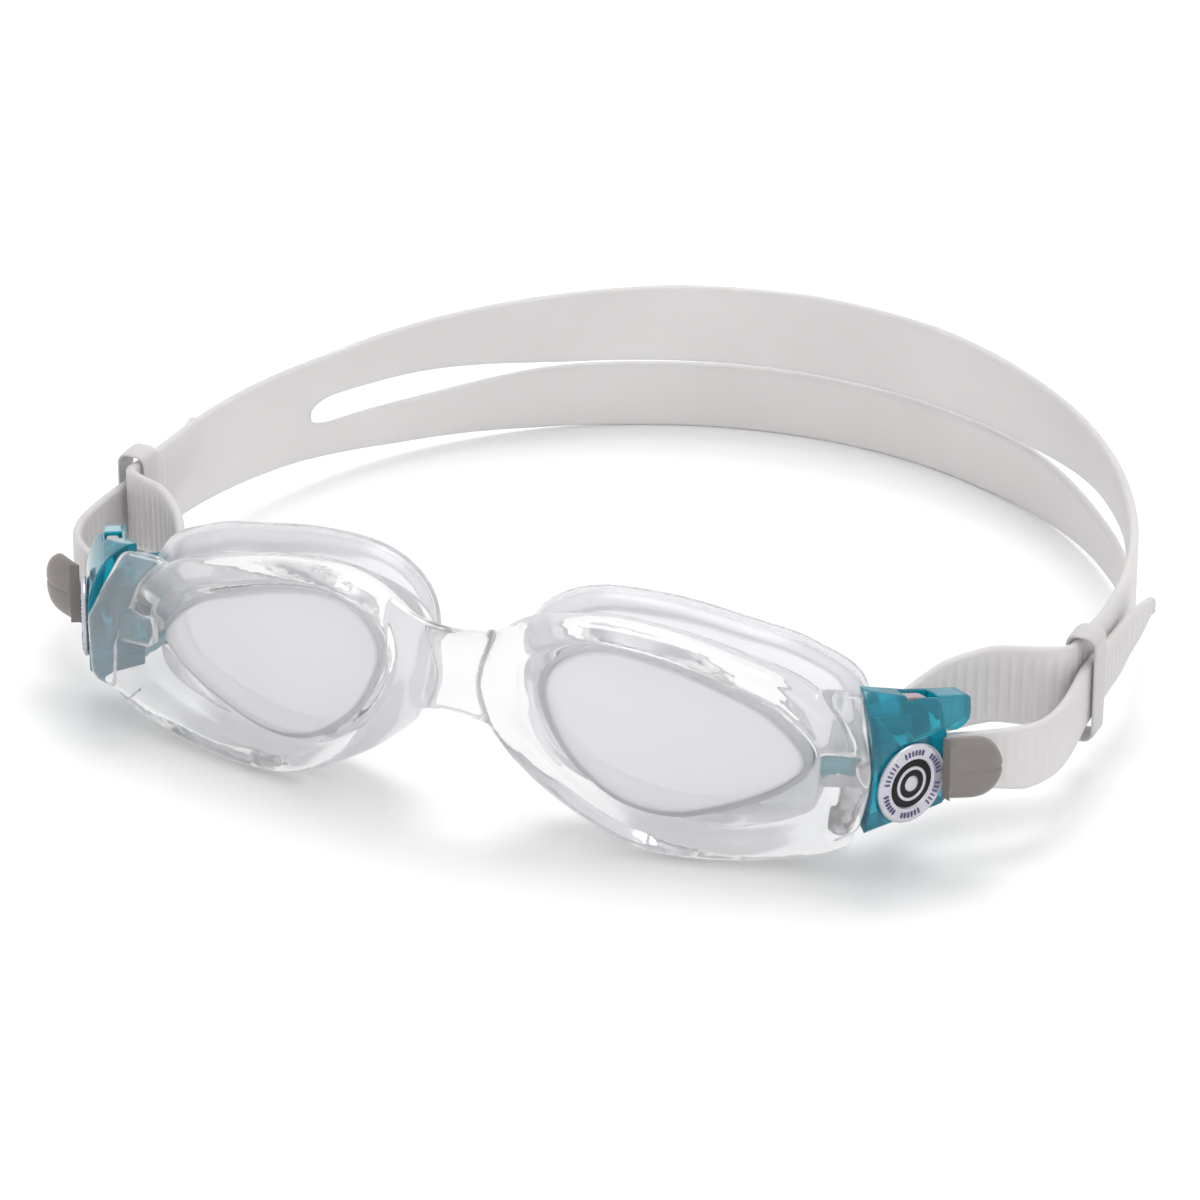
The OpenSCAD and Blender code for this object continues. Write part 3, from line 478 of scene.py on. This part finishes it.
for label, side in SIDES:
    finish("lens_pane_" + label, lens_mesh(side), "goggles", clear_lens, ["lens_" + label])
    finish("eye_seal_" + label, ring_sweep(softened(SEAL_SECTION, 2), SEAL, side), "goggles", clear_seal,
           ["skirt_" + label])

# ---------------------------------------------------------------- strap
LOW_EDGE = [(0, STRAP_LOW + 6.6), (0.35, STRAP_LOW + 3.2), (1, STRAP_LOW + 0.2), (2, STRAP_LOW - 1.4),
            (2.4, STRAP_LOW - 2.4), (2.6, STRAP_LOW - 2.7), (2.9, STRAP_LOW - 0.3), (3, STRAP_LOW),
            (4, STRAP_LOW), (4.15, STRAP_LOW + 0.3), (4.5, STRAP_LOW + 1.6), (4.8, STRAP_LOW - 0.4),
            (5, SIDE_LOW + 1.4), (6, SIDE_LOW + 1.4), (6.25, SIDE_LOW - 1.2), (6.4, 2.4), (6.6, 0.6),
            (6.75, 0), (7, 0)]
TOP_EDGE = [(0, STRAP_TOP - 1.4), (0.35, STRAP_TOP - 1.4), (1, STRAP_TOP - 2), (2, STRAP_TOP - 1.2),
            (2.5, STRAP_TOP - 2.2), (2.9, STRAP_TOP - 1.8), (3, STRAP_TOP), (4, STRAP_TOP),
            (4.15, STRAP_TOP + 0.8), (4.3, STRAP_TOP + 3), (4.5, STRAP_TOP + 4.2), (4.8, STRAP_TOP + 3.2),
            (5, SIDE_LOW + SIDE_H + 0.8), (6, SIDE_LOW + SIDE_H), (6.3, SIDE_LOW + SIDE_H + 0.2),
            (6.5, BACK_H - 2.8), (6.8, BACK_H - 0.3), (7, BACK_H)]


def flat_buckle(a, d):
    """Plan place of a point of the buckle, before the whole is centred."""
    place = at_buckle(a, d, 0.0)
    return np.array([place[0], place[1] + MID_Y])


def bezier(p, t):
    """Cubic Bezier curve through its first and last point."""
    p = np.asarray(p, float)
    t = t[:, None]
    return ((1 - t) ** 3 * p[0] + 3 * t * (1 - t) ** 2 * p[1] + 3 * t ** 2 * (1 - t) * p[2] + t ** 3 * p[3])


def strap_route():
    """Half of the strap's line from the tail to the back, as x, y and a stage number a stretch."""
    bar = flat_buckle(BAR_A, BAR_DEPTH)
    reach = BAR_D / 2 + 0.15 + STRAP_T / 2
    outer_x = LOOP_X + STRAP_T + STRAP_GAP
    start = math.degrees(BUCKLE_TURN) - 90 - LEAVE_ANGLE
    end = start - TURN_ANGLE

    def round_bar(angle):
        angle = np.radians(angle)
        return bar + reach * np.stack([np.cos(angle), np.sin(angle)], -1)

    def heading(angle):
        return np.array([math.cos(math.radians(angle)), math.sin(math.radians(angle))])

    tail = [(outer_x + 1.6, HOLD_Y + 10), (outer_x + 0.8, HOLD_Y + 6.5),
            (outer_x, HOLD_Y + 3.5), (outer_x, HOLD_Y)]
    outer = [(outer_x, STRAIGHT_Y), (outer_x + 1.6, 21),
             round_bar(start) + heading(start + 90) * 24, round_bar(start)]
    inner = [round_bar(end), round_bar(end) + heading(end - 90) * 23,
             (LOOP_X, STRAIGHT_Y - 9), (LOOP_X, STRAIGHT_Y)]
    t = np.linspace(0, 1, 200, endpoint=False)
    quarter = np.linspace(0, np.pi / 2, 400)
    rows = [bezier(tail, t), np.stack([np.full(200, outer_x), HOLD_Y + (STRAIGHT_Y - HOLD_Y) * t], -1),
            bezier(outer, t), round_bar(start + (end - start) * t), bezier(inner, t),
            np.stack([np.full(200, LOOP_X), STRAIGHT_Y + (LOOP_START - STRAIGHT_Y) * t], -1),
            np.stack([LOOP_X * np.cos(quarter), LOOP_START + LOOP_DEPTH * np.sin(quarter)], -1)]
    stage = np.concatenate([i + t for i in range(6)] + [6 + quarter / (np.pi / 2)])
    return np.concatenate(rows), stage


def strap_mesh():
    """Rounded band sections along the route, with teeth near the ends and a slot at the back.

    A section is two loops, below and above the slot, with half-round lips. Where the slot is shut they
    share their middle edge and the lips have no faces. The teeth are a sine along the strap, clipped
    to flats, and show faintly on the outer face.
    """
    line, stage = strap_route()
    length = np.concatenate([[0], np.cumsum(np.linalg.norm(np.diff(line, axis=0), axis=1))])
    back_from, slot_from = np.interp([6.0, SLOT_START], stage, length)
    s = np.concatenate([np.arange(0, back_from, 0.22), np.arange(back_from, slot_from, 1.2),
                        slot_from + np.array([0, 0.05, 0.2, 0.45, 0.8, 1.3, 1.9, 2.8]),
                        np.linspace(slot_from + 4, length[-1], 70)])
    half = np.stack([np.interp(s, length, line[:, 0]), np.interp(s, length, line[:, 1])], -1)
    k = np.interp(s, length, stage)
    grid = np.linspace(0, length[-1], 1500)
    window = np.hanning(25)
    window /= window.sum()

    def smooth_table(table):
        table = np.asarray(table)
        raw = np.interp(np.interp(grid, length, stage), table[:, 0], table[:, 1])
        padded = np.concatenate([np.full(12, raw[0]), raw, np.full(12, raw[-1])])
        return np.interp(s, grid, np.convolve(padded, window, "valid"))

    low, high = smooth_table(LOW_EDGE), smooth_table(TOP_EDGE)
    ribbed = (smoothstep((k - 0.12) / 0.1) * (1 - smoothstep((k - 2.85) / 0.1))
              + smoothstep((k - 4.02) / 0.05) * (1 - smoothstep((k - 5.5) / 0.4)))
    tooth = ribbed * RIB_DEPTH * smoothstep(0.5 + 1.6 * np.sin(2 * np.pi * s / RIB_PITCH))
    opened = np.clip((s - slot_from) / 5.5, 0, 1)
    closing = 1 - 0.8 * smoothstep((k - 6.42) / 0.25)
    gap = np.where(s <= slot_from + 1e-6, 0, SLOT_H * np.sqrt(opened * (2 - opened)) * closing)
    shift = 1.5 * smoothstep((k - 6.3) / 0.6)

    # the other half runs back to the far tail
    low, high, tooth, gap, shift = (np.concatenate([q, q[-2::-1]]) for q in (low, high, tooth, gap, shift))
    points = np.concatenate([half, half[-2::-1] * [-1, 1]])
    ahead = np.gradient(points, axis=0)
    ahead /= np.linalg.norm(ahead, axis=1)[:, None]
    across = np.stack([ahead[:, 1], -ahead[:, 0]], -1)

    half_t, edge, face, lip = STRAP_T / 2, 0.62, 7, 7
    low, high, tooth, gap, shift = (q[:, None] for q in (low, high, tooth, gap, shift))
    middle = np.clip(SLOT_MID, low + 2.5, high - 2.5)
    lip_r = np.minimum(0.5, gap / 2)
    foot, top = low + edge, high - edge
    under, over = middle - gap / 2 - lip_r, middle + gap / 2 + lip_r
    turn = np.linspace(0, np.pi, lip)[None]
    climb = np.linspace(0, 1, face + 2)[None, 1:-1]
    shut = tooth * (gap <= 0)
    outer = -half_t + RIB_SHOWS * tooth * np.clip(4 * np.minimum(climb, 1 - climb), 0, 1)

    def stretch(q, z):
        return np.stack(np.broadcast_arrays(q, z), -1)

    def lip_line(angle):
        return half_t * np.cos(angle) - shut * (1 + np.cos(angle)) / 2

    lower = [stretch(-half_t * np.cos(turn), low + edge * (1 - np.sin(turn))),
             stretch(half_t - tooth * np.clip(climb * 3, 0, 1), foot + (under - foot) * climb),
             stretch(lip_line(turn), under + lip_r * np.sin(turn)),
             stretch(outer, under + (foot - under) * climb)]
    upper = [stretch(lip_line(turn[:, ::-1]), over - lip_r * np.sin(turn)),
             stretch(half_t - tooth * np.clip((1 - climb) * 3, 0, 1), over + (top - over) * climb),
             stretch(half_t * np.cos(turn), high - edge * (1 - np.sin(turn))),
             stretch(outer, top + (over - top) * climb)]
    loops = []
    for parts, moved in ((lower, 0.0), (upper, 1.0)):
        section = np.concatenate(parts, 1)
        q = section[..., 0] - moved * shift
        xy = points[:, None] + across[:, None] * q[..., None]
        loops.append(np.concatenate([xy, section[..., 1:]], -1).reshape(-1, 3))
    cloud = np.concatenate(loops) - [0, MID_Y, 0]

    n, count = len(points), 2 * (lip + face)
    faces = grid_faces(n, count)
    row, place = np.divmod(np.arange(len(faces)), count)
    is_open = gap[:, 0] > 0
    split = is_open[row] | is_open[np.minimum(row + 1, n - 1)]
    lower_lip = (place >= lip + face) & (place < 2 * lip + face - 1)
    upper_lip = place < lip - 1
    kept = [faces[~lower_lip | split], faces[~upper_lip | split] + n * count]
    return raw_mesh("strap", cloud, np.concatenate(kept))


finish("strap_band", strap_mesh(), "goggles", strap_skin, ["head_strap"])


def keeper_mesh(side):
    """A soft loop round both plies: a rounded bar section carried round a rounded rectangle."""
    outer_x = LOOP_X + STRAP_T + STRAP_GAP
    low, high = SIDE_LOW + 0.7, SIDE_LOW + SIDE_H + 1.4
    half_x, half_z, corner = 2.3, (high - low) / 2 + 0.3, 1.7
    t = np.linspace(0, 2 * np.pi, 96, endpoint=False)
    c, s = np.cos(t), np.sin(t)
    path = np.stack([np.sign(c) * (half_x - corner) * smoothstep(np.abs(c) * 4) + corner * c,
                     np.sign(s) * (half_z - corner) * smoothstep(np.abs(s) * 4) + corner * s], -1)
    ahead = np.roll(path, -1, 0) - np.roll(path, 1, 0)
    out = np.stack([ahead[:, 1], -ahead[:, 0]], -1) / np.linalg.norm(ahead, axis=1)[:, None]
    f = np.linspace(0, 2 * np.pi, 28, endpoint=False)
    thick = KEEPER_T / 2 * signed_power(np.sin(f), 0.7)
    along = KEEPER_LEN / 2 * signed_power(np.cos(f), 0.45)
    xz = path[:, None] + out[:, None] * thick[None, :, None]
    y = np.broadcast_to(KEEPER_Y + along[None], xz.shape[:2]) - MID_Y
    points = np.stack([(LOOP_X + outer_x) / 2 + xz[..., 0], y, (low + high) / 2 + xz[..., 1]], -1)
    return raw_mesh("keeper", mirrored(points.reshape(-1, 3), side), grid_faces(96, 28, True))


for label, side in SIDES:
    finish("keeper_loop_" + label, keeper_mesh(side), "strap_keeper_" + label, keeper_skin,
           ["strap_keeper_" + label])


# ---------------------------------------------------------------- buckles
def pad_mesh(side):
    """The button: rounded sections along its length, the face crowned, with a crease at mid height.

    A section runs up the outer face and down the inner one as a superellipse, and shrinks towards the
    round rear end. The crown grows with the cube of the height, and the crease is a narrow bell curve.
    """
    t = 0.5 - 0.5 * np.cos(np.linspace(0, np.pi, 49))[:, None]
    f = np.concatenate([np.linspace(-np.pi / 2, np.pi / 2, 81), np.linspace(np.pi / 2, -np.pi / 2, 31)[1:-1]])
    outer = (np.arange(len(f)) <= 80)[None]
    q = np.sin(f)[None]
    fat = np.sqrt(np.clip(1 - q ** 4, 0, 1)) * np.where(outer, 1, -1)
    reach = 0.08 + 0.92 * np.sqrt(np.clip(1 - np.clip((t - 0.42) / 0.58, 0, 1) ** 2.2, 0, 1))
    ends = np.sqrt(np.clip(np.minimum(t * 16, (1 - t) * 16), 0, 1))
    belly = BUTTON_T / 2 * (0.55 + 0.45 * np.sin(np.pi * t))
    middle_z = BUTTON_LOW + BUTTON_H / 2
    z = middle_z + (BUTTON_H / 2 + 0.08) * reach * q
    middle = -BUTTON_STAND - BUTTON_FLARE * np.sin(np.radians(118) * t) + belly
    crease = 0.3 * np.exp(-((z - middle_z) / 0.22) ** 2) * outer
    crown = np.where(outer, 0.9, 0.5) * np.abs(q) ** 3
    d = middle - belly * (0.25 + 0.75 * ends) * fat + crease + crown * (0.5 + 0.5 * reach)
    a = BUTTON_FRONT - 0.05 + (BUTTON_LEN + 0.15) * t
    return raw_mesh("pad", mirrored(at_buckle(a, d, z).reshape(-1, 3), side), grid_faces(49, len(f)))


def rear_block(side):
    """The room behind the button's front edge, where the rounded button takes the lever's place."""
    corners = np.meshgrid([BUTTON_FRONT + 0.15, 40.0], [-30.0, 30.0], [-5.0, 45.0], indexing="ij")
    return block_mesh("rear", at_buckle(*corners), side)


def hook_lobe(side):
    """The hook's rounded lower end: a softened side outline given its width."""
    a, z = softened(HOOK_SHAPE).T
    rows = [at_buckle(a, d, z) for d in HOOK_D]
    return raw_mesh("lobe", mirrored(np.concatenate(rows), side), grid_faces(2, len(a)))


def key_mesh(side):
    """The lever's key where it shows in the roof: superellipses stacked up and drawn in at the top.

    The top follows the roof's slope.
    """
    t = np.linspace(0, 2 * np.pi, 48, endpoint=False)[None]
    levels = np.array([(0.02, 24.6), (1, 24.6), (1, 26.55), (0.97, 26.75), (0.9, 26.85), (0.5, 26.9),
                       (0.02, 26.9)])
    size, z = levels[:, :1], levels[:, 1:]
    back = KEY_LEN / 2 * size * signed_power(np.cos(t), 0.35)
    d = KEY_D + KEY_W / 2 * size * signed_power(np.sin(t), 0.35)
    points = at_buckle(KEY_A + back, d, z - 0.29 * back * (z > 25)).reshape(-1, 3)
    return raw_mesh("key", mirrored(points, side), grid_faces(len(levels), 48))


def turned(profile, side):
    """A lathe form on the housing's outer face: radius and height carried round the badge's middle."""
    profile = np.asarray(profile, float)
    t = np.linspace(0, 2 * np.pi, 96, endpoint=False)[None]
    r, h = profile[:, :1], profile[:, 1:]
    points = at_buckle(BADGE_A + r * np.cos(t), BADGE_SEAT - h, BADGE_Z + r * np.sin(t)).reshape(-1, 3)
    return raw_mesh("lathe", mirrored(points, side), grid_faces(len(profile), 96))


def tick_mesh(side):
    """Fine strokes round the badge's ring, each a small flat bar that points to the middle."""
    place = np.arange(48)
    angle = (2 * np.pi * place / 48)[(place % 8 > 0) & (place % 8 < 7)][:, None, None, None]
    r, w = np.meshgrid(np.linspace(4.55, 5.35, 3), np.linspace(-0.12, 0.12, 3), indexing="ij")
    a = BADGE_A + r * np.cos(angle) - w * np.sin(angle)
    z = BADGE_Z + r * np.sin(angle) + w * np.cos(angle)
    points = at_buckle(a, np.array([-1.0, -0.86])[:, None, None], z)
    lid = grid_faces(3, 3, False, False)
    rim = np.array([0, 1, 2, 5, 8, 7, 6, 3])
    after = np.roll(rim, -1)
    stroke = np.concatenate([lid, lid[:, ::-1] + 9, np.stack([rim, after, after + 9, rim + 9], -1)])
    faces = (stroke + 18 * np.arange(len(angle))[:, None, None]).reshape(-1, 4)
    return raw_mesh("ticks", mirrored(points.reshape(-1, 3), side), faces)


# Radius and height of each turned piece of the badge
BADGE_FORMS = (
    ("badge_ring_", badge_silver, [(0.01, 0.1), (6.0, 0.1), (6.2, 0.25), (6.2, 0.62), (6.05, 0.86),
                                   (5.8, 0.94), (5.55, 0.9), (4.3, 0.9), (4.05, 0.94), (3.9, 0.86),
                                   (3.84, 0.55), (0.01, 0.5)]),
    ("badge_centre_", badge_black, [(0.01, 0.45), (3.8, 0.45), (3.84, 0.6), (3.7, 0.66), (0.01, 0.7)]),
    ("badge_dome_", badge_silver, [(0.01, 0.6), (1.25, 0.6), (1.25, 0.74), (1.1, 0.86), (0.7, 0.96),
                                   (0.01, 1.0)]),
    ("badge_band_", badge_silver, [(2.2, 0.6), (2.75, 0.6), (2.75, 0.78), (2.62, 0.86), (2.33, 0.86),
                                   (2.2, 0.78), (2.2, 0.6)]),
)

for label, side in SIDES:
    shell = cut(node_copy("buckle_housing_" + label), seam_mesh(side, SEAM_GAP), "INTERSECT")
    housing = moulded(joined([shell, hook_lobe(side), tongue_block(side, 0)]), HOUSING_VOXEL, 4)
    finish("housing_shell_" + label, housing, "goggles", teal, ["buckle_housing_" + label])
    arm = cut(node_copy("release_lever_" + label), rear_block(side))
    lever = moulded(joined([arm, pad_mesh(side)]), LEVER_VOXEL, 2)
    finish("button_pad_" + label, lever, "release_lever_" + label, button_grey,
           ["release_lever_" + label])
    finish("key_end_" + label, key_mesh(side), "release_lever_" + label, key_rose)
    for name, material, profile in BADGE_FORMS:
        replaced = ["badge_" + label] if name == "badge_ring_" else ()
        finish(name + label, turned(profile, side), "goggles", material, replaced)
    finish("badge_ticks_" + label, tick_mesh(side), "goggles", badge_tick, smooth=False)

for label, side in SIDES:
    for node, material in (("pivot_pin_", pin_steel), ("return_spring_", pin_steel),
                           ("strap_bar_", bar_grey)):
        for slot in bpy.data.objects[node + label].material_slots:
            slot.material = material

# ---------------------------------------------------------------- floor, light and camera
# In metres: the floor's half size, its glow where it is looked at, and the camera
FLOOR_HALF, FLOOR_LIFT = 3.0, 0.03
SKY_LEVEL = 0.84
CAMERA_PLACE = (0.31713, -0.68327 - MID_Y * MM, 0.4066)
CAMERA_DOWN, CAMERA_ROUND = math.radians(26.46), math.radians(23.6)
CAMERA_LENS = 169.83


def seen_ray(tree):
    """1 where the camera, a reflection or a view through clear plastic looks."""
    path = tree.nodes.new("ShaderNodeLightPath")
    total = path.outputs["Is Camera Ray"]
    for kind in ("Is Glossy Ray", "Is Transmission Ray"):
        most = tree.nodes.new("ShaderNodeMath")
        most.operation = "MAXIMUM"
        tree.links.new(total, most.inputs[0])
        tree.links.new(path.outputs[kind], most.inputs[1])
        total = most.outputs[0]
    return total


def stage_material():
    """A white floor: plain diffuse, lifted to paper white where it is looked at."""
    material, tree, shader, _ = finish_nodes("studio_floor")
    tree.nodes.remove(shader)
    soft = tree.nodes.new("ShaderNodeBsdfDiffuse")
    soft.inputs["Color"].default_value = (0.93, 0.93, 0.93, 1)
    glow = tree.nodes.new("ShaderNodeEmission")
    seen = seen_ray(tree)
    lift = tree.nodes.new("ShaderNodeMath")
    lift.operation = "MULTIPLY"
    lift.inputs[1].default_value = FLOOR_LIFT
    tree.links.new(seen, lift.inputs[0])
    tree.links.new(lift.outputs[0], glow.inputs["Strength"])
    both = tree.nodes.new("ShaderNodeAddShader")
    tree.links.new(soft.outputs[0], both.inputs[0])
    tree.links.new(glow.outputs[0], both.inputs[1])
    tree.links.new(both.outputs[0], tree.nodes["Material Output"].inputs["Surface"])
    return material


floor_mesh = bpy.data.meshes.new("studio_floor")
floor_mesh.from_pydata([(-FLOOR_HALF, -FLOOR_HALF, 0), (FLOOR_HALF, -FLOOR_HALF, 0),
                        (FLOOR_HALF, FLOOR_HALF, 0), (-FLOOR_HALF, FLOOR_HALF, 0)], [], [(0, 1, 2, 3)])
floor_mesh.materials.append(stage_material())
new_object("studio_floor", floor_mesh)

world = bpy.data.worlds.new("studio")
bpy.context.scene.world = world
world.use_nodes = True
sky = world.node_tree
back = sky.nodes["Background"]
back.inputs["Color"].default_value = (1, 1, 1, 1)
back.inputs["Strength"].default_value = SKY_LEVEL
white = sky.nodes.new("ShaderNodeBackground")
white.inputs["Strength"].default_value = 1.0
white.inputs["Color"].default_value = (1, 1, 1, 1)
choose = sky.nodes.new("ShaderNodeMixShader")
sky.links.new(seen_ray(sky), choose.inputs["Fac"])
sky.links.new(back.outputs[0], choose.inputs[1])
sky.links.new(white.outputs[0], choose.inputs[2])
sky.links.new(choose.outputs[0], sky.nodes["World Output"].inputs["Surface"])


def softbox(name, place, target, size, power):
    """A square area light that looks at a point."""
    lamp = bpy.data.lights.new(name, "AREA")
    lamp.energy, lamp.size = power, size
    light = bpy.data.objects.new(name, lamp)
    bpy.context.scene.collection.objects.link(light)
    light.location = place
    away = np.array(place) - np.array(target)
    flat = math.hypot(away[0], away[1])
    light.rotation_euler = (math.atan2(flat, away[2]), 0, math.atan2(away[0], -away[1]))
    return light


softbox("key", (-0.1, 0.4, 1.0), (0, 0, 0), 0.6, 5.0)
softbox("fill", (0.7, -0.5, 0.6), (0, 0, 0), 0.6, 1.0)

scene = bpy.context.scene
lens_data = bpy.data.cameras.new("view")
lens_data.sensor_width = 36.0
lens_data.lens = CAMERA_LENS
camera = bpy.data.objects.new("view", lens_data)
scene.collection.objects.link(camera)
camera.location = CAMERA_PLACE
camera.rotation_euler = (math.pi / 2 - CAMERA_DOWN, 0, CAMERA_ROUND)
scene.camera = camera
scene.view_settings.view_transform = "Standard"
